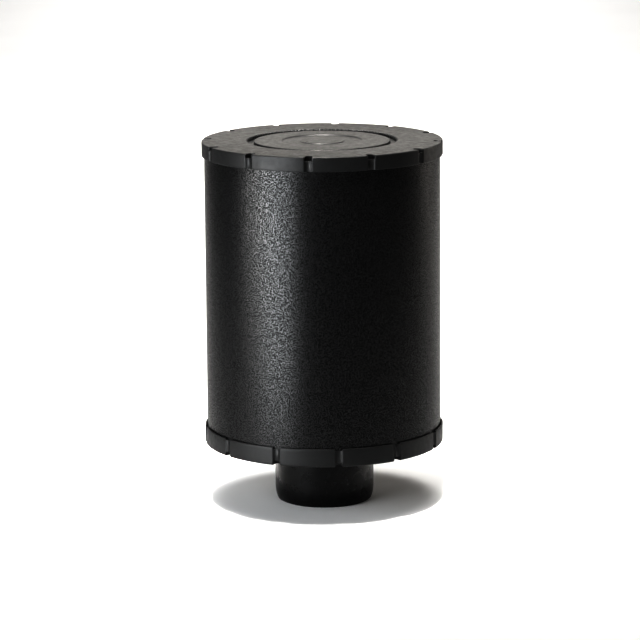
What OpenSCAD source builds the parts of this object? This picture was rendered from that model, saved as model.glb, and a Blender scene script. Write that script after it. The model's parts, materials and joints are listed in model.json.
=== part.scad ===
// Disposable canister muffler and intake filter for compressed-air machinery.
// Two moulded urethane end caps with castellated rims hold a rolled shell and a pleated
// element. Air passes between the rim slots and the rubber outlet collar, through the
// absorbing lining's annulus, the pleats and the perforated core.
// Origin: centre of the outlet collar's mouth. +Z runs up the canister's axis.

/* [Outlet collar] */
// Radius of the collar's bore, half of a 76.2 mm (3 inch) pipe
bore_r = 38.1; // [38.1:0.1:39]
// Outside radius of the collar where the clamp sits
collar_r = 44.8; // [44:0.1:46]
// Distance from the collar's mouth to the lower cap
neck_h = 54; // [40:1:70]
// Height over which the collar's mouth rounds inward
mouth_round_h = 14; // [6:1:18]

/* [End caps] */
// Outside radius of both caps
cap_r = 108; // [107.6:0.1:110]
// Thickness of each cap's plate
plate_h = 13; // [13:0.5:16]
// How far the lower cap's lip stands above its plate
lip_h = 3.2; // [2:0.1:6]
// Rounding of each cap's outer edge
edge_r = 1.2; // [0.4:0.1:2]

/* [Air slots] */
// Air slots around each cap
slot_count = 12; // [8:1:16]
// Width of one slot
slot_w = 6.4; // [5:0.1:8]
// Radius that the slots reach inward to
slot_in_r = 99.8; // [98:0.1:101]
// Turn of the upper cap's slots about the axis
upper_turn = -6.6; // [-15:0.1:15]
// Turn of the lower cap's slots about the axis
lower_turn = 6.8; // [-15:0.1:15]
// Skin of urethane left over the shell at the back of each slot
slot_skin = 0.5; // [0.3:0.1:0.8]

/* [Shell] */
// Outside radius of the rolled shell
shell_r = 105.9; // [105.7:0.1:106.2]
// Thickness of the shell sheet
shell_t = 1.2; // [1:0.1:1.4]
// Distance between the two caps' outer faces
canister_h = 275.4; // [240:0.2:320]
// Depth of each shell end below its cap's outer face
shell_bury = 3.4; // [3:0.1:5]
// Gap of the shell's butt joint
seam_gap = 0.6; // [0.4:0.1:1]

/* [Element] */
// Inside radius of the perforated core
core_r = 41; // [40.5:0.1:42]
// Outside radius of the outer liner
liner_r = 66.2; // [65:0.1:66.4]
// Sheet thickness of both liners
liner_t = 0.7; // [0.6:0.1:0.9]
// Number of pleats
pleats = 116; // [80:2:120]
// Thickness of the filter paper
paper_t = 0.6; // [0.5:0.05:0.7]

/* [Hidden] */
$fn = 96;
eps = 0.01;

lower_z = neck_h;                       // lower cap, outer face
upper_z = neck_h + canister_h;          // upper cap, outer face
lower_in = lower_z + plate_h;           // lower cap, inner face
upper_in = upper_z - plate_h;           // upper cap, inner face
lip_z = lower_in + lip_h;

shell_in = shell_r - shell_t;
shell_z0 = lower_z + shell_bury;
shell_z1 = upper_z - shell_bury;
seal_h = 0.6;                           // adhesive under and over the shell's ends
lip_gap = 0.8;                          // opening of the lip beside the shell
lip_gap_h = 4.6;
slot_back_r = shell_r + slot_skin;

pot_d = 5;                              // depth that the element is potted in each cap
element_z0 = lower_in - pot_d;
element_z1 = upper_in + pot_d;
pleat_in_r = core_r + liner_t + 0.5;
bead_t = 0.5;
pleat_out_r = liner_r - liner_t - bead_t;
bead_h = 4;
seam_tip = pleat_out_r - 1;
seam_glue = 0.05;                       // half of the glue line between the paper's ends
seam_half = seam_glue + paper_t;

// Face relief: scalloped channel, then a plateau, a dish and a button, each below the rim.
channel_out_r = 66.5;
channel_in_r = 61;
channel_d = 3.5;
scallop_r = 0.9;
plateau_d = 0.4;
dish_r = 35;
dish_wall = 1.4;
dish_d = 1.4;
button_r = 20.5;
button_wall = 0.8;
button_d = 0.7;

collar_root_r = collar_r - 1;           // the collar narrows where it enters the lower cap
anchor_r = 52;                          // collar flange inside the lower cap
anchor_h0 = 3;                          // its two faces, above the lower cap's outer face
anchor_h1 = 6;
anchor_z0 = lower_z + anchor_h0;
anchor_z1 = lower_z + anchor_h1;
mouth_r = bore_r + 3;                   // outside radius of the collar at its very mouth
ferrule_r = 40.6;
ferrule_t = 1;
ferrule_flange_r = 50;

lining_t = 9.7;
lining_margin = 18;                     // plenum between each cap and the lining
strip_w = 24;
strip_t = 0.8;
strip_margin = 5;
seam_angle = 90;                        // butt joint, at the back

core_hole_r = 4.5;
core_holes = 12;
core_pitch = 18;
mesh_r = 7;
mesh_openings = 20;
mesh_pitch = 21;

// Points on an elliptical quarter arc about c, from angle a0 to a1.
function arc(c, rx, ry, a0, a1, n = 8) =
    [for (i = [0 : n]) let (a = a0 + (a1 - a0) * i / n) c + [rx * cos(a), ry * sin(a)]];

function polar(r, a) = [r * cos(a), r * sin(a)];

module ring(r_in, r_out, z0, z1) {
    difference() {
        translate([0, 0, z0]) cylinder(r = r_out, h = z1 - z0);
        translate([0, 0, z0 - 1]) cylinder(r = r_in, h = z1 - z0 + 2);
    }
}

module wedge(angle, z0, z1) {
    reach = 2 * cap_r;
    translate([0, 0, z0])
        linear_extrude(z1 - z0)
            polygon([[0, 0], polar(reach, -angle / 2), polar(reach, angle / 2)]);
}

module around(count, turn = 0) {
    for (i = [0 : count - 1]) rotate([0, 0, turn + i * 360 / count]) children();
}

// Prism of one air slot, rounded at its inner end and open at the rim.
module slot_prism(z0, z1) {
    r = slot_w / 2;
    translate([slot_in_r + r, 0, z0]) cylinder(r = r, h = z1 - z0);
    translate([slot_in_r + r, -r, z0]) cube([cap_r - slot_in_r, slot_w, z1 - z0]);
}

// Relief in the upper cap's face, as a cutter. Height 0 is the cap's outer face.
module face_relief() {
    rotate_extrude()
        polygon([[0, 1], [0, -button_d], [button_r - button_wall, -button_d],
                 [button_r, -dish_d], [dish_r, -dish_d],
                 [dish_r + dish_wall, -plateau_d], [channel_in_r - 1, -plateau_d],
                 [channel_in_r, -plateau_d - 0.6], [channel_in_r, -channel_d],
                 [channel_out_r, -channel_d], [channel_out_r, 1]]);
}

// Small scallops that the mould leaves in the channel's outer wall.
module scallops() {
    around(pleats)
        translate([channel_out_r, 0, -channel_d])
            cylinder(r = scallop_r, h = channel_d + 1, $fn = 16);
}

// A cap with its outer face at height 0 and its plate below. rim_end is the section of the
// skirt's end, from the outside inward.
module cap_blank(rim_end) {
    rotate_extrude()
        polygon(concat([[0, 0]], arc([cap_r - edge_r, -edge_r], edge_r, edge_r, 90, 0),
                       rim_end, [[0, -plate_h]]));
}

// What both caps are cut by: the shell's groove, the air slots, the potting groove, the scallops.
module cap_cuts(turn) {
    ring(shell_in, shell_r, -plate_h - 10, -shell_bury + seal_h);
    around(slot_count, turn) {
        slot_prism(-shell_bury, 1);
        difference() {
            slot_prism(-plate_h - 10, -shell_bury + eps);
            ring(shell_in + shell_t / 2, slot_back_r, -plate_h - 11, 0);
        }
    }
    ring(core_r, liner_r, -plate_h - 1, -plate_h + pot_d);
    scallops();
}

module upper_end_cap() {
    color("#3b3c3c")
        translate([0, 0, upper_z])
            difference() {
                cap_blank([[cap_r, -plate_h]]);
                cap_cuts(upper_turn);
                face_relief();
            }
}

module lower_end_cap() {
    lip_end = -plate_h - lip_h;
    color("#3b3c3c")
        translate([0, 0, lower_z])
            mirror([0, 0, 1])
                difference() {
                    cap_blank([[cap_r, lip_end], [shell_r + lip_gap, lip_end],
                               [shell_r, lip_end + lip_gap_h], [shell_in, -plate_h]]);
                    cap_cuts(lower_turn);
                    ring(channel_in_r, channel_out_r, -channel_d, 1);
                    translate([0, 0, -plate_h - 1]) cylinder(r = bore_r, h = plate_h + 2);
                    translate([0, 0, -anchor_h0]) cylinder(r = collar_root_r, h = plate_h);
                    translate([0, 0, -anchor_h1]) cylinder(r = anchor_r, h = anchor_h1 - anchor_h0);
                }
}

module outer_shell() {
    color("#1c1d1e")
        difference() {
            ring(shell_in, shell_r, shell_z0, shell_z1);
            rotate([0, 0, seam_angle])
                translate([shell_in - 2, -seam_gap / 2, 0]) cube([shell_t + 4, seam_gap, upper_z]);
        }
}

module shell_seam_strip() {
    half = asin(strip_w / 2 / shell_in);
    color("#26272a")
        intersection() {
            ring(shell_in - strip_t, shell_in, lower_in + strip_margin, upper_in - strip_margin);
            rotate([0, 0, seam_angle]) wedge(2 * half, 0, upper_z);
        }
}

// Adhesive in the closed pockets between the slots of one cap.
module shell_seal(z0, turn) {
    slot_angle = 2 * asin((slot_w / 2 + 1) / shell_in);
    pocket = 360 / slot_count - slot_angle;
    intersection() {
        ring(shell_in, shell_r, z0, z0 + seal_h);
        around(slot_count, turn + 180 / slot_count) wedge(pocket, z0 - 1, z0 + seal_h + 1);
    }
}

module upper_shell_seal() {
    color("#4a4b46") shell_seal(shell_z1, upper_turn);
}

module lower_shell_seal() {
    color("#4a4b46") shell_seal(shell_z0 - seal_h, lower_turn);
}

module acoustic_lining() {
    z0 = lower_in + lining_margin;
    z1 = upper_in - lining_margin;
    color("#3a3b3f")
        difference() {
            ring(shell_in - lining_t, shell_in, z0, z1);
            rotate([0, 0, seam_angle])
                translate([shell_in - strip_t - 1, -strip_w / 2 - 0.5, z0 - 1])
                    cube([strip_t + 5, strip_w + 1, z1 - z0 + 2]);
        }
}

module outlet_collar() {
    color("#141415")
        difference() {
            rotate_extrude()
                polygon(concat([[bore_r, 0]],
                               arc([mouth_r, mouth_round_h], collar_r - mouth_r, mouth_round_h, -90, 0, 14),
                               [[collar_r, lower_z], [collar_root_r, lower_z],
                                [collar_root_r, anchor_z0], [anchor_r, anchor_z0],
                                [anchor_r, anchor_z1], [bore_r, anchor_z1]]));
            outlet_ferrule();
        }
}

module outlet_ferrule() {
    z0 = mouth_round_h + 2;
    z1 = anchor_z1 - 1;
    color("#a9adb1") {
        ring(ferrule_r, ferrule_r + ferrule_t, z0, z1);
        ring(ferrule_r, ferrule_flange_r, z1 - ferrule_t, z1);
    }
}

// Staggered rows of short radial pins that pierce a sheet rolled to radius r. With sides = 4
// the pins are diamonds, as in expanded sheet.
module punches(r, pin_r, count, pitch, sides) {
    span = upper_in - lower_in - 4 * pin_r;
    rows = floor(span / pitch);
    z0 = (lower_in + upper_in - rows * pitch) / 2;
    for (row = [0 : rows])
        for (i = [0 : count - 1])
            rotate([0, 0, (i + row % 2 / 2) * 360 / count])
                translate([r - 3, 0, z0 + row * pitch])
                    rotate([0, 90, 0]) cylinder(r = pin_r, h = 6, $fn = sides);
}

module perforated_core() {
    color("#b3b7ba")
        difference() {
            ring(core_r, core_r + liner_t, element_z0, element_z1);
            punches(core_r, core_hole_r, core_holes, core_pitch, 24);
        }
}

module core_end_disc() {
    rim = 4;
    sheet = 1;
    color("#b3b7ba") {
        translate([0, 0, upper_in - sheet]) cylinder(r = core_r, h = sheet);
        ring(core_r - sheet, core_r, upper_in - rim, upper_in);
    }
}

module outer_liner() {
    color("#b3b7ba")
        difference() {
            ring(liner_r - liner_t, liner_r, element_z0, element_z1);
            punches(liner_r, mesh_r, mesh_openings, mesh_pitch, 4);
        }
}

// One face of the paper: root, tip, tip, root for each pleat but the one at angle 0.
function pleat_path(r_tip, half_tip, r_root, half_root) =
    let (pitch = 360 / pleats, turn = pitch / 2)
    [for (i = [1 : pleats - 1])
        for (p = [[r_root, half_root - turn], [r_tip, -half_tip],
                  [r_tip, half_tip], [r_root, turn - half_root]])
            polar(p[0], i * pitch + p[1])];

function reversed(list) = [for (i = [len(list) - 1 : -1 : 0]) list[i]];

// The paper's two ends stand up together at angle 0, glued face to face.
module pleated_media() {
    degrees = 180 / PI;
    tip = 0.75;
    root = 0.2;
    fold_in = pleat_in_r + paper_t;
    outside = pleat_path(pleat_out_r, tip / pleat_out_r * degrees,
                         fold_in, root / pleat_in_r * degrees);
    inside = pleat_path(pleat_out_r - paper_t, (tip - paper_t) / pleat_out_r * degrees,
                        pleat_in_r, (root + paper_t) / pleat_in_r * degrees);
    color("#c9b98a")
        translate([0, 0, element_z0])
            rotate([0, 0, seam_angle])
                linear_extrude(element_z1 - element_z0)
                    polygon(concat([[seam_tip, seam_half], [fold_in, seam_half]], outside,
                                   [[fold_in, -seam_half], [seam_tip, -seam_half],
                                    [seam_tip, -seam_glue], [pleat_in_r, -seam_glue]],
                                   reversed(inside),
                                   [[pleat_in_r, seam_glue], [seam_tip, seam_glue]]));
}

module media_seam_clip() {
    leg = 9;
    sheet = 0.4;
    half = seam_half + sheet;
    color("#b3b7ba")
        translate([0, 0, element_z0])
            linear_extrude(element_z1 - element_z0)
                rotate(seam_angle)
                    difference() {
                        translate([seam_tip - leg, -half]) square([leg + sheet, 2 * half]);
                        translate([seam_tip - leg - 1, -seam_half]) square([leg + 1, 2 * seam_half]);
                    }
}

module pleat_bead(z) {
    color("#d9cf9a") ring(pleat_out_r, pleat_out_r + bead_t, z - bead_h / 2, z + bead_h / 2);
}

module bead_at(share) {
    pleat_bead(lower_in + share * (upper_in - lower_in));
}

upper_end_cap();
lower_end_cap();
outer_shell();
shell_seam_strip();
upper_shell_seal();
lower_shell_seal();
acoustic_lining();
outlet_collar();
outlet_ferrule();
perforated_core();
core_end_disc();
outer_liner();
pleated_media();
media_seam_clip();
bead_at(0.25);  // lower_pleat_bead
bead_at(0.5);  // middle_pleat_bead
bead_at(0.75);  // upper_pleat_bead
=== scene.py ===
import json
import math

import bpy
import numpy as np
from mathutils import Matrix, Vector


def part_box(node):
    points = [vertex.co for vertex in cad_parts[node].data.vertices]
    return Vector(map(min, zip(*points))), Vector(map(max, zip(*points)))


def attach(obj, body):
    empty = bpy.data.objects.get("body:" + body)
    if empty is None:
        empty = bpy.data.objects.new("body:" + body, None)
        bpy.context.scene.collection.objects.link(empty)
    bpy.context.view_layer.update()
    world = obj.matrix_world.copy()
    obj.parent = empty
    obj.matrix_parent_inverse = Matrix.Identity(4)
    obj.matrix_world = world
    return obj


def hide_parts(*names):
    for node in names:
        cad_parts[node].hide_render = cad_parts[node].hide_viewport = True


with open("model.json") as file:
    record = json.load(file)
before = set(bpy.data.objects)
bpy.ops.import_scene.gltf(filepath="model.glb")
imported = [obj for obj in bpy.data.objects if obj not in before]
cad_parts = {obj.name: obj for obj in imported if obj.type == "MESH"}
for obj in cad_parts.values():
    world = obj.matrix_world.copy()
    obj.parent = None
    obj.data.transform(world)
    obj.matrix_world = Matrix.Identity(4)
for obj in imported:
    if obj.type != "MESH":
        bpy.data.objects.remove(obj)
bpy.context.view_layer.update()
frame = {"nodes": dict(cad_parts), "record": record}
MM = 0.001
SHARP_ANGLE = math.radians(50)  # edges bent more than this stay crisp

# ---------------------------------------------------------------- sizes, in metres
upper_lo, upper_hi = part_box("upper_end_cap")
lower_lo, lower_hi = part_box("lower_end_cap")
shell_lo, shell_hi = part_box("outer_shell")
collar_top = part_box("outlet_collar")[1][2]
core_lo, core_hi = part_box("perforated_core")
mounts = {m["name"]: m for m in frame["record"]["mounts"]}

PLATE_H = upper_hi[2] - upper_lo[2]
LIP_TOP = lower_hi[2] - lower_lo[2]
SHELL_R = (shell_hi[0] - shell_lo[0]) / 2
SHELL_T = 1.2 * MM
HAIR = 0.02 * MM  # keeps two faces from lying in one another
CAP_R = SHELL_R + 2.1 * MM
SHELL_BURY = upper_hi[2] - shell_hi[2]
BORE_R = mounts["outlet_bore"]["dims"]["r_mm"] * MM
COLLAR_R = mounts["collar_clamp_seat"]["dims"]["r_mm"] * MM
COLLAR_ROOT_R = COLLAR_R - 1.0 * MM

SLOTS = 12
SLOT_HALF = 3.2 * MM
SLOT_IN_R = 99.8 * MM
SLOT_ROUND_R = SLOT_IN_R + SLOT_HALF
UPPER_TURN = math.radians(-6.6)
LOWER_TURN = math.radians(6.8)
SLOT_EDGE = 0.7 * MM  # rounding of the slots' long edges
FACE_EDGE, LIPPED_FACE_EDGE = 1.0 * MM, 1.3 * MM  # rounding between a cap's face and its rim
LOW_EDGE, LIPPED_LOW_EDGE = 0.6 * MM, 0.55 * MM  # rounding at the rim's other end
SKIN_R = SHELL_R + 0.5 * MM
GROOVE_R = CAP_R - 0.1 * MM  # where the half-round groove in a slot's skin starts
RIM_FACE_R = 105.2 * MM  # one more station on the rim's face, outside the slots' round ends
BACK_R = 66 * MM  # one more ring on the hidden back of a cap's disc
LIP_GAP = 0.8 * MM
LIP_GAP_H = 4.6 * MM
LEAST_FACE_EDGE, LEAST_LOW_EDGE = 0.15 * MM, 0.1 * MM
SKIN_SHORT, LIPPED_SKIN_SHORT = 0.15 * MM, 1.7 * MM  # a slot's film stops this far from its end

SCALLOPS = 116
SCALLOP_D = 0.9 * MM
CHANNEL_OUT_R, CHANNEL_IN_R = 66.5 * MM, 61 * MM
CHANNEL_D = 3.5 * MM
CHANNEL_EDGE, FLOOR_EDGE = 1.1 * MM, 0.35 * MM  # roundings at the channel's rim and elsewhere
PLATEAU_D = 0.4 * MM
DISH_R, DISH_WALL, DISH_D = 35 * MM, 1.6 * MM, 1.4 * MM
BUTTON_R, BUTTON_WALL, BUTTON_D = 20.5 * MM, 1.1 * MM, 0.7 * MM
CENTRE_R = 1 * MM  # smallest ring of the plain cap, closed by one face
FLANGE_R, FLANGE_H0, FLANGE_H1 = 52 * MM, 3 * MM, 6 * MM
NUB_X, NUB_Y, NUB_H, NUB_R = -13.5 * MM, -11 * MM, 0.9 * MM, 0.9 * MM
SEAM_ANGLE, SEAM_GAP, SEAM_DIP = math.pi / 2, 0.6 * MM, 0.15 * MM
SEAM_REACH = 3 * MM  # how far the sheet dips beside its seam
GRAIN_D, GRAIN_CELL, GRAIN_SEED = 0.03 * MM, 2.1 * MM, 11
GRAIN_JITTER, GRAIN_LOW, CREASE = 0.48, 0.55, 0.45  # in cells, in pebble heights, in cells
SHELL_SINK, SHELL_WAVE = 0.20 * MM, 0.03 * MM
MOUTH_R, MOUTH_H = BORE_R + 3 * MM, 14 * MM
MOUTH_EDGE, MOUTH_LEAD = 0.6 * MM, 1.2 * MM
CORE_IN_R, CORE_MARGIN, CORE_HOLE_R = 41 * MM, 5 * MM, 2.3 * MM
CORE_COLUMNS, CORE_ROWS, HOLE_SIDES = 36, 33, 16

# ---------------------------------------------------------------- how finely meshes are cut
PAIRS = 7  # points across the plate from a slot's end to its full width
EDGE_STEPS = 4  # steps in a rounded slot edge
RIM_STEPS = 44  # stations along one stretch of rim
DISC_STEPS = 10  # stations per scallop
NUB_ROWS = 11  # rings across the moulding nub
SKIN_STEPS = 25  # points across the film behind a slot
SHELL_STEPS, SHELL_ROWS = 761, 301  # points round the sheet and up it
COLLAR_STEPS = 256  # points round the collar
END_STEPS = 8  # points per column of holes, round the tube's plain ends


# ---------------------------------------------------------------- mesh helpers
def make_piece(name, verts, faces, material, slot, *nodes):
    """A smooth-shaded mesh piece that rides on the root and stands for the CAD nodes."""
    mesh = bpy.data.meshes.new(name)
    mesh.from_pydata([tuple(v) for v in verts], [], faces)
    mesh.validate()
    obj = bpy.data.objects.new(name, mesh)
    bpy.context.scene.collection.objects.link(obj)
    mesh.materials.append(material)
    mesh.shade_smooth()
    mesh.set_sharp_from_angle(angle=SHARP_ANGLE)
    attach(obj, "root")
    if nodes:
        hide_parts(*nodes)
    return obj


class Builder:
    """Collects several grids of vertices into one mesh."""

    def __init__(self):
        self.verts, self.faces, self.count = [], [], 0

    def add(self, points):
        points = np.asarray(points, dtype=float).reshape(-1, 3)
        self.verts.append(points)
        start = self.count
        self.count += len(points)
        return start

    def grid(self, points, wrap_u=False, wrap_v=False, flip=False):
        """points[u][v] become quads."""
        nu, nv = points.shape[:2]
        start = self.add(points)
        for u in range(nu if wrap_u else nu - 1):
            u1 = (u + 1) % nu
            for v in range(nv if wrap_v else nv - 1):
                v1 = (v + 1) % nv
                quad = (start + u * nv + v, start + u1 * nv + v, start + u1 * nv + v1, start + u * nv + v1)
                self.faces.append(quad[::-1] if flip else quad)
        return start

    def mesh(self):
        return np.concatenate(self.verts), self.faces


def arc(cx, cy, rx, ry, a0, a1, steps):
    """Points on an elliptical arc, angles in degrees."""
    a = np.radians(np.linspace(a0, a1, steps + 1))
    return np.column_stack([cx + rx * np.cos(a), cy + ry * np.sin(a)])


def ease(start, end, steps):
    """An S-shaped step between two profile points, across its first coordinate."""
    t = np.linspace(0, 1, steps + 1)
    s = t * t * (3 - 2 * t)
    return np.column_stack([start[0] + (end[0] - start[0]) * t, start[1] + (end[1] - start[1]) * s])


def polyline(*parts):
    """Single points and runs of points, joined into one run."""
    return np.concatenate([np.atleast_2d(np.asarray(p, dtype=float)) for p in parts])


def turned(r, angle, z):
    """Points at radius r, angle and height z; the three may be of different shapes."""
    r, angle, z = np.broadcast_arrays(r, angle, z)
    return np.stack([r * np.cos(angle), r * np.sin(angle), z], axis=-1)


# ---------------------------------------------------------------- end caps
def rim_profile(shrink, lipped):
    """Closed section of a cap's rim as (radius, depth below the outer face), drawn in by shrink.
    The first and last PAIRS points face each other across the plate."""
    inner_r = np.linspace(SLOT_IN_R, SLOT_ROUND_R, PAIRS)
    t = np.clip((inner_r - SLOT_IN_R) / (SLOT_ROUND_R - SLOT_IN_R), 0, 1)
    fade = t * t * (3 - 2 * t)
    outer = CAP_R - shrink
    face_edge = max((LIPPED_FACE_EDGE if lipped else FACE_EDGE) - shrink, LEAST_FACE_EDGE)
    face = np.column_stack([inner_r, shrink * fade])
    back = np.column_stack([inner_r, PLATE_H - shrink * fade])[::-1]
    corner = arc(outer - face_edge, shrink + face_edge, face_edge, face_edge, -90, 0, 6)
    edge = max(LIPPED_LOW_EDGE - shrink * 0.6 if lipped else LOW_EDGE - shrink, LEAST_LOW_EDGE)
    low = (LIP_TOP if lipped else PLATE_H) - shrink
    wall = low - 2 * edge - shrink - face_edge
    skirt = [(outer, shrink + face_edge + s * wall) for s in np.linspace(0.15, 0.85, 4)]
    if lipped:
        gap_top = SHELL_R + LIP_GAP + shrink * 0.5
        end = polyline(arc(outer - edge, low - edge, edge, edge, 0, 90, 5),
                       (gap_top + 0.15 * MM, low), (gap_top, low - 0.3 * MM),
                       (SHELL_R + HAIR, LIP_TOP - LIP_GAP_H),
                       (SHELL_R - SHELL_T, PLATE_H - shrink))
    else:
        end = polyline(arc(outer - edge, low - edge, edge, edge, 0, 90, 4), (SHELL_R, low))
    return polyline(face, (RIM_FACE_R, shrink), corner, skirt, end, back)


def slot_half_width(r):
    """Half the slot's width at radius r: straight sides, with a half-round inner end."""
    d = np.clip(SLOT_ROUND_R - r, 0, SLOT_HALF)
    return np.sqrt(np.maximum(SLOT_HALF**2 - d**2, 0))


def rim_segment(build, turn, height, lipped, flip):
    """The rim's solid stretch from one slot to the next, with all the edges along the slots rounded."""
    start, end = [], []
    for i in range(EDGE_STEPS + 1):
        a = math.pi / 2 * i / EDGE_STEPS
        prof = rim_profile(SLOT_EDGE * (1 - math.sin(a)), lipped)
        r = prof[:, 0]
        widen = SLOT_EDGE * (1 - math.cos(a)) * np.clip((r - SLOT_IN_R) / SLOT_HALF, 0, 1)
        side = slot_half_width(r) + widen
        start.append((prof, np.arcsin(side / r)))
    base = rim_profile(0, lipped)
    sector = 2 * math.pi / SLOTS
    first = start[-1][1]
    rings = [turned(p[:, 0], turn + a, height(p[:, 1])) for p, a in start]
    for t in np.linspace(0, 1, RIM_STEPS + 2)[1:-1]:
        angle = turn + first + (sector - 2 * first) * t
        rings.append(turned(base[:, 0], angle, height(base[:, 1])))
    rings += [turned(p[:, 0], turn + sector - a, height(p[:, 1])) for p, a in reversed(start)]
    rings = np.array(rings)
    at = build.grid(rings, wrap_v=True, flip=flip)
    count = len(base)
    for ring, turned_over in ((0, flip), (len(rings) - 1, not flip)):
        first_vertex = at + ring * count
        for j in range(PAIRS - 1):
            quad = (j, j + 1, count - 2 - j, count - 1 - j)
            quad = [first_vertex + k for k in quad]
            build.faces.append(quad if turned_over else quad[::-1])
        rest = [first_vertex + k for k in range(PAIRS - 1, count - PAIRS + 1)]
        build.faces.append(rest if turned_over else rest[::-1])


def slot_skin(build, angle, z0, z1):
    """The thin film of urethane behind one slot, hollowed to a half-round groove."""
    reach = SLOT_HALF + 0.2 * MM
    depth = GROOVE_R - SKIN_R
    hollow_r = (SLOT_HALF**2 + depth**2) / (2 * depth)
    y = np.linspace(-reach, reach, SKIN_STEPS)
    front = SKIN_R + hollow_r - np.sqrt(hollow_r**2 - np.minimum(np.abs(y), SLOT_HALF) ** 2)
    back = np.full_like(y, SHELL_R + HAIR)
    section = np.concatenate([np.column_stack([front, y]), np.column_stack([back, y])[::-1]])
    edge, thin = 0.15 * MM, 0.75
    levels = [(z0, thin), (z0 + edge, 1.0), ((z0 + z1) / 2, 1.0), (z1 - edge, 1.0), (z1, thin)]
    c, s = math.cos(angle), math.sin(angle)
    rings = []
    for z, grow in levels:
        x, y = SHELL_R + (section[:, 0] - SHELL_R) * grow, section[:, 1]
        rings.append(np.column_stack([x * c - y * s, x * s + y * c, np.full(len(x), z)]))
    at = build.grid(np.array(rings), wrap_v=True, flip=True)
    n = len(section)
    for ring, turned_over in ((0, False), (len(levels) - 1, True)):
        for j in range(SKIN_STEPS - 1):
            quad = [at + ring * n + k for k in (j, j + 1, n - 2 - j, n - 1 - j)]
            build.faces.append(quad[::-1] if turned_over else quad)


def face_profile(bored):
    """Section of a cap's disc inside the slots, from the slots inward over the outer face.
    The third value is how much of the scallops' depth a point takes."""
    e, soft = FLOOR_EDGE, CHANNEL_EDGE
    top = 0 if bored else PLATEAU_D
    rows = [(SLOT_IN_R, 0, 0)] + [(r * MM, 0, 0) for r in (93, 84, 75, 70, 69.2)]
    rows += [(CHANNEL_OUT_R + soft + 0.25 * MM, 0, 1),
             (CHANNEL_OUT_R + 0.7 * soft, 0.1 * soft, 1),
             (CHANNEL_OUT_R + 0.25 * soft, 0.45 * soft, 1),
             (CHANNEL_OUT_R, soft, 1),
             (CHANNEL_OUT_R, CHANNEL_D / 2, 1),
             (CHANNEL_OUT_R, CHANNEL_D - e, 1),
             (CHANNEL_OUT_R - 0.3 * e, CHANNEL_D - 0.3 * e, 0.9),
             (CHANNEL_OUT_R - e, CHANNEL_D, 0.5),
             (CHANNEL_OUT_R - 1.2 * MM, CHANNEL_D, 0),
             (CHANNEL_IN_R + e, CHANNEL_D, 0),
             (CHANNEL_IN_R + 0.3 * e, CHANNEL_D - 0.3 * e, 0),
             (CHANNEL_IN_R, CHANNEL_D - e, 0),
             (CHANNEL_IN_R, top + 1.2 * MM, 0),
             (CHANNEL_IN_R - 0.1 * MM, top + 0.55 * MM, 0),
             (CHANNEL_IN_R - 0.45 * MM, top + 0.15 * MM, 0),
             (CHANNEL_IN_R - 1.0 * MM, top, 0),
             (CHANNEL_IN_R - 3 * MM, top, 0)]
    if bored:
        middle_rows = [(52 * MM, 0), (47 * MM, 0), (COLLAR_R + 0.6 * MM, 0), (COLLAR_ROOT_R, 0),
                       (COLLAR_ROOT_R, FLANGE_H0), (FLANGE_R, FLANGE_H0), (FLANGE_R, FLANGE_H1),
                       (BORE_R, FLANGE_H1), (BORE_R, PLATE_H - e), (BORE_R + e, PLATE_H)]
    else:
        middle_rows = polyline((52 * MM, top), (42 * MM, top),
                               ease((DISH_R + DISH_WALL, top), (DISH_R, DISH_D), 6), (28 * MM, DISH_D),
                               ease((BUTTON_R, DISH_D), (BUTTON_R - BUTTON_WALL, BUTTON_D), 6),
                               [(r, BUTTON_D) for r in np.linspace(18.9, 15.9, NUB_ROWS) * MM],
                               (14 * MM, BUTTON_D), (7 * MM, BUTTON_D), (CENTRE_R, BUTTON_D))
    return np.array(rows + [(r, h, 0) for r, h in middle_rows])


def cap_disc(build, turn, height, bored, flip):
    """The disc inside the slots: its outer face with the scalloped channel, and its hidden back."""
    around = SCALLOPS * DISC_STEPS
    angle = turn + np.linspace(0, 2 * math.pi, around, endpoint=False)
    scallop = SCALLOP_D * np.clip(np.cos(angle * SCALLOPS), 0, 1) ** 0.7
    prof = face_profile(bored)
    r = prof[:, :1] + prof[:, 2:] * scallop[None, :]
    z = np.repeat(height(prof[:, 1])[:, None], around, axis=1)
    if not bored:
        from_nub = (r * np.cos(angle) - NUB_X) ** 2 + (r * np.sin(angle) - NUB_Y) ** 2
        z = z + NUB_H * np.exp(-from_nub / (2 * NUB_R**2)) * (r < BUTTON_R - BUTTON_WALL - HAIR)
    at = build.grid(turned(r, angle[None, :], z), wrap_v=True, flip=not flip)
    if not bored:
        last = at + (len(prof) - 1) * around
        ring = [last + k for k in range(around)]
        build.faces.append(ring[::-1] if flip else ring)
    inner = np.array([BORE_R + FLOOR_EDGE if bored else CENTRE_R, CORE_IN_R, BACK_R, SLOT_IN_R])
    back = turned(inner[:, None], angle[None, :], height(np.full((len(inner), 1), PLATE_H)))
    build.grid(back, wrap_v=True, flip=not flip)


def cap(name, node, turn, height, lipped, flip):
    """One end cap. height turns a depth below the cap's outer face into a z."""
    build = Builder()
    cap_disc(build, turn, height, lipped, flip)
    far = LIP_TOP - LIPPED_SKIN_SHORT if lipped else PLATE_H - SKIN_SHORT
    skin_z = sorted(height(np.array([SHELL_BURY, far])))
    for i in range(SLOTS):
        angle = turn + 2 * math.pi * i / SLOTS
        rim_segment(build, angle, height, lipped, flip)
        slot_skin(build, angle, *skin_z)
    verts, faces = build.mesh()
    return make_piece(name, verts, faces, urethane, "cap_urethane", node)


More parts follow.
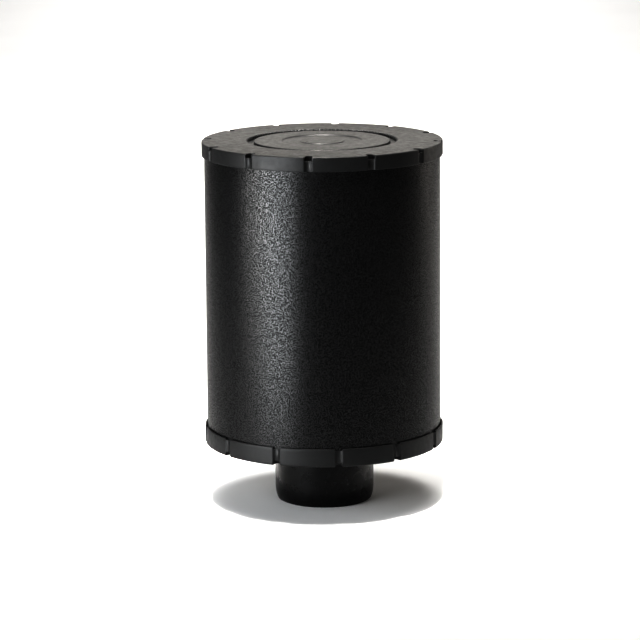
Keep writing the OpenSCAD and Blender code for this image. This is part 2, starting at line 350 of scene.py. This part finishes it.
# ---------------------------------------------------------------- other pieces
def leather_height(a, h):
    """Embossed pebbles with creases between them, from 0 to 1, over angle a and height h."""
    columns = int(2 * math.pi * SHELL_R / GRAIN_CELL)
    rows = int((shell_hi[2] - shell_lo[2]) / GRAIN_CELL) + 3
    rng = np.random.default_rng(GRAIN_SEED)
    jitter = rng.uniform(-GRAIN_JITTER, GRAIN_JITTER, (columns, rows, 2))
    lift = rng.uniform(GRAIN_LOW, 1.0, (columns, rows))
    u = (a / (2 * math.pi) * columns) % columns
    v = (h - shell_lo[2]) / GRAIN_CELL + 1
    iu, iv = np.floor(u).astype(int), np.floor(v).astype(int)
    near = np.full(u.shape, np.inf)
    second = near.copy()
    top = np.zeros(u.shape)
    for du in (-1, 0, 1):
        for dv in (-1, 0, 1):
            cu, cv = iu + du, np.clip(iv + dv, 0, rows - 1)
            j = jitter[cu % columns, cv]
            d = np.hypot(u - (cu + 0.5 + j[..., 0]), v - (iv + dv + 0.5 + j[..., 1]))
            closer = d < near
            second = np.where(closer, near, np.minimum(second, d))
            top = np.where(closer, lift[cu % columns, cv], top)
            near = np.where(closer, d, near)
    t = np.clip((second - near) / CREASE, 0, 1)
    return t * t * (3 - 2 * t) * top


def rolled_shell():
    """The rolled sheet, with its butt joint at the back and its outside very slightly wavy."""
    half_gap = SEAM_GAP / 2 / SHELL_R
    angle = np.linspace(SEAM_ANGLE + half_gap, SEAM_ANGLE + 2 * math.pi - half_gap, SHELL_STEPS)
    z0, z1 = shell_lo[2], shell_hi[2]
    a, h = np.meshgrid(angle, np.linspace(z0, z1, SHELL_ROWS), indexing="ij")
    wave = np.sin(3 * a + 9 * h) * np.sin(26 * h + 1.3) + 0.6 * np.sin(7 * a - 31 * h) * np.cos(40 * h)
    from_seam = np.abs(np.angle(np.exp(1j * (a - SEAM_ANGLE)))) * SHELL_R
    dip = SEAM_DIP * np.exp(-((from_seam / SEAM_REACH) ** 2))
    inset = SHELL_SINK - SHELL_WAVE * wave + dip - GRAIN_D * leather_height(a, h)
    outer = turned(SHELL_R - inset, a, h)
    inner_z = np.array([z1, (z0 + z1) / 2, z0])
    a2, h2 = np.meshgrid(angle, inner_z, indexing="ij")
    inner = turned(SHELL_R - SHELL_T, a2, h2)
    build = Builder()
    points = np.concatenate([outer, inner], axis=1)
    at = build.grid(points, wrap_v=True)
    n = points.shape[1]
    build.faces.append([at + k for k in range(n)][::-1])
    build.faces.append([at + (len(angle) - 1) * n + k for k in range(n)])
    verts, faces = build.mesh()
    return make_piece("grained_shell_sheet", verts, faces, grain, "grained_shell", "outer_shell")


def rubber_collar():
    """The outlet's collar: a rounded mouth below, and a flange above that the lower cap holds."""
    face, e, lead = lower_lo[2], MOUTH_EDGE, MOUTH_LEAD
    prof = polyline((BORE_R, collar_top), [(BORE_R, z * MM) for z in (40, 20, 4)],
                    arc(BORE_R + lead, lead, lead, lead, 180, 270, 6),
                    arc(MOUTH_R - e, e, e, e, -90, -40, 3),
                    arc(MOUTH_R, MOUTH_H, COLLAR_R - MOUTH_R, MOUTH_H, -72, 0, 18),
                    [(COLLAR_R, z * MM) for z in (24, 34, 44)], (COLLAR_R, face - 3 * MM),
                    arc(COLLAR_R - e, face - e, e, e, 0, 90, 4), (COLLAR_ROOT_R, face),
                    (COLLAR_ROOT_R, face + FLANGE_H0), (FLANGE_R, face + FLANGE_H0), (FLANGE_R, collar_top))
    angle = np.linspace(0, 2 * math.pi, COLLAR_STEPS, endpoint=False)
    build = Builder()
    build.grid(turned(prof[:, :1], angle[None, :], prof[:, 1:]), wrap_u=True, wrap_v=True, flip=True)
    verts, faces = build.mesh()
    return make_piece("rubber_outlet_collar", verts, faces, rubber, "collar_rubber", "outlet_collar")


def perforated_tube():
    """The core as real perforated sheet: staggered round holes cut through a thin tube."""
    r_out = (core_hi[0] - core_lo[0]) / 2
    z0, z1 = core_lo[2], core_hi[2]
    pitch_z = (z1 - z0 - 2 * CORE_MARGIN) / CORE_ROWS
    pitch_a = 2 * math.pi / CORE_COLUMNS
    turn = (np.arange(HOLE_SIDES) + 0.5 - HOLE_SIDES // 4 / 2) / HOLE_SIDES * 2 * math.pi
    circle = np.column_stack([np.cos(turn), np.sin(turn)])
    square = circle / np.abs(circle).max(axis=1, keepdims=True)
    cell = (pitch_a / 2, pitch_z / 2)
    build = Builder()
    for row in range(CORE_ROWS):
        z = z0 + CORE_MARGIN + (row + 0.5) * pitch_z
        for column in range(CORE_COLUMNS):
            a = (column + row % 2 / 2) * pitch_a
            loops = []
            for r, shape, (half_a, half_z) in (
                    (r_out, square, cell), (r_out, circle, (CORE_HOLE_R / r_out, CORE_HOLE_R)),
                    (CORE_IN_R, circle, (CORE_HOLE_R / CORE_IN_R, CORE_HOLE_R)), (CORE_IN_R, square, cell)):
                loops.append(turned(r, a + shape[:, 0] * half_a, z + shape[:, 1] * half_z))
            build.grid(np.array(loops), wrap_v=True, flip=True)
    ends = np.linspace(0, 2 * math.pi, CORE_COLUMNS * END_STEPS, endpoint=False)
    for low, high in ((z0, z0 + CORE_MARGIN), (z1 - CORE_MARGIN, z1)):
        loop = np.array([(r_out, low), (r_out, high), (CORE_IN_R, high), (CORE_IN_R, low)])
        build.grid(turned(loop[:, :1], ends[None, :], loop[:, 1:]), wrap_u=True, wrap_v=True, flip=True)
    verts, faces = build.mesh()
    return make_piece("perforated_core_tube", verts, faces, steel, "plated_steel", "perforated_core")


# ---------------------------------------------------------------- materials
class Shader:
    """A Principled material whose patterns use the object's own coordinates, in metres."""

    def __init__(self, name):
        self.mat = bpy.data.materials.new(name)
        self.mat.use_nodes = True
        self.nodes = self.mat.node_tree.nodes
        self.links = self.mat.node_tree.links
        self.bsdf = self.nodes["Principled BSDF"]
        self.coords = self.nodes.new("ShaderNodeTexCoord").outputs["Object"]

    def set(self, **values):
        for key, value in values.items():
            self.bsdf.inputs[key.replace("_", " ")].default_value = value
        return self

    def node(self, kind, inputs=None, **settings):
        n = self.nodes.new(kind)
        for key, value in settings.items():
            setattr(n, key, value)
        for key, value in (inputs or {}).items():
            if isinstance(value, bpy.types.NodeSocket):
                self.links.new(value, n.inputs[key])
            else:
                n.inputs[key].default_value = value
        return n

    def noise(self, scale, detail=3.0, rough=0.55, vector=None, distort=0.0):
        inputs = {"Vector": vector or self.coords, "Scale": scale, "Detail": detail,
                  "Roughness": rough, "Distortion": distort}
        return self.node("ShaderNodeTexNoise", inputs).outputs["Fac"]

    def stretched(self, x, y, z):
        return self.node("ShaderNodeMapping", {"Vector": self.coords, "Scale": (x, y, z)}).outputs["Vector"]

    def math(self, operation, a, b=0.0):
        return self.node("ShaderNodeMath", {0: a, 1: b}, operation=operation).outputs[0]

    def span(self, value, low, high, out_low, out_high):
        inputs = {"Value": value, "From Min": low, "From Max": high,
                  "To Min": out_low, "To Max": out_high}
        return self.node("ShaderNodeMapRange", inputs).outputs["Result"]

    def colour(self, value, *stops):
        """Colours value by (position, (r, g, b)) stops, as the base colour."""
        ramp = self.node("ShaderNodeValToRGB", {"Fac": value})
        points = ramp.color_ramp.elements
        while len(points) < len(stops):
            points.new(0.5)
        for point, (at, rgb) in zip(points, stops):
            point.position = at
            point.color = (*rgb, 1)
        self.links.new(ramp.outputs["Color"], self.bsdf.inputs["Base Color"])
        return self

    def rough(self, value, low, high):
        self.links.new(self.span(value, 0.3, 0.7, low, high), self.bsdf.inputs["Roughness"])
        return self

    def bump(self, *layers):
        """Each layer is (height, depth in metres)."""
        normal = None
        for height, depth in layers:
            inputs = {"Height": height, "Distance": depth, "Strength": 1.0}
            if normal:
                inputs["Normal"] = normal
            normal = self.node("ShaderNodeBump", inputs).outputs["Normal"]
        self.links.new(normal, self.bsdf.inputs["Normal"])
        return self


def make_urethane():
    s = Shader("moulded_urethane")
    blotch, fine = s.noise(35, 4), s.noise(1500, 2)
    s.colour(s.math("ADD", s.math("MULTIPLY", blotch, 0.6), s.math("MULTIPLY", fine, 0.4)),
             (0.3, (0.011, 0.0113, 0.0115)), (0.7, (0.020, 0.0204, 0.0207)))
    s.rough(s.noise(220, 3), 0.38, 0.52)
    s.bump((s.noise(60, 3), 0.25 * MM), (fine, 0.05 * MM))
    return s.set(Specular_IOR_Level=0.45).mat


def make_grain():
    s = Shader("leather_grain_sheet")
    worn = s.span(s.noise(1350, 0), 0.40, 0.60, 0.0, 1.0)
    s.colour(worn, (0.0, (0.004, 0.004, 0.0043)), (1.0, (0.010, 0.0103, 0.0107)))
    s.links.new(s.span(worn, 0.0, 1.0, 0.44, 0.26), s.bsdf.inputs["Roughness"])
    s.links.new(s.span(worn, 0.0, 1.0, 0.18, 0.62), s.bsdf.inputs["Specular IOR Level"])
    s.bump((worn, 0.035 * MM), (s.noise(2600, 2), 0.008 * MM))
    return s.mat


def make_rubber():
    s = Shader("collar_rubber")
    smear = s.noise(55, 4, vector=s.stretched(1, 1, 0.5))
    s.colour(smear, (0.3, (0.003, 0.003, 0.0032)), (0.7, (0.005, 0.005, 0.0053)))
    s.rough(s.noise(180, 4), 0.24, 0.36)
    s.bump((s.noise(45, 2), 0.25 * MM), (s.noise(1400, 2), 0.012 * MM))
    return s.set(Specular_IOR_Level=0.27).mat


def make_steel():
    s = Shader("plated_steel_sheet")
    streak = s.noise(900, 3, vector=s.stretched(1, 1, 0.06))
    s.colour(s.noise(120, 4), (0.3, (0.50, 0.51, 0.52)), (0.7, (0.66, 0.67, 0.68)))
    s.rough(streak, 0.30, 0.45)
    s.bump((streak, 0.02 * MM))
    return s.set(Metallic=1.0).mat


def make_paper():
    s = Shader("pleated_filter_paper")
    crepe = s.noise(700, 3, vector=s.stretched(1, 1, 3))
    s.colour(s.math("ADD", s.math("MULTIPLY", s.noise(90, 4), 0.5), s.math("MULTIPLY", crepe, 0.5)),
             (0.3, (0.48, 0.40, 0.24)), (0.7, (0.64, 0.56, 0.38)))
    s.rough(crepe, 0.75, 0.9)
    s.bump((crepe, 0.10 * MM))
    return s.mat


def make_felt():
    s = Shader("needled_felt")
    fibre = s.noise(1600, 4, 0.7, distort=1.5)
    s.colour(fibre, (0.3, (0.035, 0.035, 0.04)), (0.7, (0.09, 0.09, 0.10)))
    s.rough(fibre, 0.85, 1.0)
    s.bump((fibre, 0.4 * MM), (s.noise(120, 2), 0.6 * MM))
    return s.mat


def make_plain_sheet():
    s = Shader("plain_black_sheet")
    s.colour(s.noise(160, 4), (0.3, (0.022, 0.022, 0.025)), (0.7, (0.034, 0.034, 0.038)))
    s.rough(s.noise(500, 3), 0.4, 0.55)
    s.bump((s.noise(900, 2), 0.03 * MM))
    return s.mat


def make_glue(name, dark, light, low, high):
    s = Shader(name)
    s.colour(s.noise(240, 4), (0.3, dark), (0.7, light))
    s.rough(s.noise(300, 3), low, high)
    s.bump((s.noise(350, 3), 0.15 * MM))
    return s.mat


urethane, grain, rubber, steel = make_urethane(), make_grain(), make_rubber(), make_steel()
kept_nodes = {
    make_plain_sheet(): ["shell_seam_strip"],
    make_glue("cured_sealant", (0.08, 0.08, 0.075), (0.13, 0.13, 0.12), 0.5, 0.7): [
        "upper_shell_seal", "lower_shell_seal"],
    make_felt(): ["acoustic_lining"],
    steel: ["outlet_ferrule", "core_end_disc", "outer_liner", "media_seam_clip"],
    make_paper(): ["pleated_media"],
    make_glue("hot_melt_bead", (0.60, 0.53, 0.30), (0.76, 0.70, 0.46), 0.3, 0.45): [
        "lower_pleat_bead", "middle_pleat_bead", "upper_pleat_bead"],
}
for kept_material, names in kept_nodes.items():
    for node_name in names:
        node = frame["nodes"][node_name]
        node.data.materials.clear()
        node.data.materials.append(kept_material)

cap("slotted_upper_cap", "upper_end_cap", UPPER_TURN, lambda h: upper_hi[2] - h, False, False)
cap("slotted_lower_cap", "lower_end_cap", LOWER_TURN, lambda h: lower_lo[2] + h, True, True)
rolled_shell()
rubber_collar()
perforated_tube()


# ---------------------------------------------------------------- floor, lights, camera
FLOOR_HALF = 12.0


def make_floor():
    s = Shader("studio_floor")
    s.colour(s.noise(3, 2), (0.3, (0.86, 0.86, 0.86)), (0.7, (0.88, 0.88, 0.88)))
    s.rough(s.noise(5, 2), 0.85, 0.95)
    mesh = bpy.data.meshes.new("studio_floor")
    corners = [(-1, -1), (1, -1), (1, 1), (-1, 1)]
    mesh.from_pydata([(x * FLOOR_HALF, y * FLOOR_HALF, 0) for x, y in corners], [], [(0, 1, 2, 3)])
    mesh.materials.append(s.mat)
    floor = bpy.data.objects.new("studio_floor", mesh)
    bpy.context.scene.collection.objects.link(floor)


def area_light(name, place, target, width, height, watts, colour=(1, 1, 1), spread=180):
    data = bpy.data.lights.new(name, "AREA")
    data.shape = "RECTANGLE"
    data.size, data.size_y = width, height
    data.energy = watts
    data.color = colour
    data.spread = math.radians(spread)
    lamp = bpy.data.objects.new(name, data)
    bpy.context.scene.collection.objects.link(lamp)
    lamp.location = place
    lamp.visible_camera = False
    lamp.rotation_euler = (Vector(target) - Vector(place)).to_track_quat("-Z", "Y").to_euler()


scene = bpy.context.scene
make_floor()
world = bpy.data.worlds.new("studio_world")
scene.world = world
world.use_nodes = True
world.node_tree.nodes["Background"].inputs["Color"].default_value = (1, 1, 1, 1)
world.node_tree.nodes["Background"].inputs["Strength"].default_value = 0.08
scene.view_settings.view_transform = "Standard"
scene.view_settings.gamma = 0.55

middle = (0, 0, 0.18)
area_light("key_left", (-1.58, -1.23, 0.76), middle, 1.5, 1.5, 13, (0.93, 0.97, 1.0))
area_light("near_strip", (-0.37, -0.433, 0.25), (0, 0, 0.25), 0.29, 0.54, 2.1, (0.96, 0.98, 1.0), 110)
area_light("top_soft", (-0.06, -0.25, 1.5), (0, 0, 0.33), 0.30, 0.16, 1.0, (1.0, 0.97, 0.93), 12)
area_light("overhead", (0.0, 3.6, 2.0), (0, 3.6, 0), 2.2, 8.4, 72, (1.0, 0.99, 0.975), 50)
area_light("front_fill", (0.0, -3.6, 2.6), (0, -3.6, 0), 3.0, 5.0, 18, (1.0, 0.99, 0.975), 50)
area_light("back_panel", (0.0, 2.8, 1.4), (0, 0.2, 0.2), 3.2, 1.6, 31, (1.0, 0.965, 0.91))
area_light("low_fill", (-1.0, -0.5, 0.14), (0, 0, 0.03), 0.6, 0.2, 0.9, (1.0, 0.99, 0.97), 60)
area_light("right_rim", (1.5, 0.9, 0.6), middle, 0.7, 1.1, 9, (1.0, 0.95, 0.89))

target = Vector((-0.00304, 0, 0.1646))
elevation, distance, roll = math.radians(11.45), 2.880, math.radians(-0.44)
camera_data = bpy.data.cameras.new("camera")
camera_data.sensor_width = 36
camera_data.lens = 178.9
camera_data.clip_end = 50
camera = bpy.data.objects.new("camera", camera_data)
scene.collection.objects.link(camera)
camera.location = target + distance * Vector((0, -math.cos(elevation), math.sin(elevation)))
look = (target - camera.location).to_track_quat("-Z", "Y").to_matrix()
camera.rotation_euler = (look @ Matrix.Rotation(roll, 3, "Z")).to_euler()
scene.camera = camera
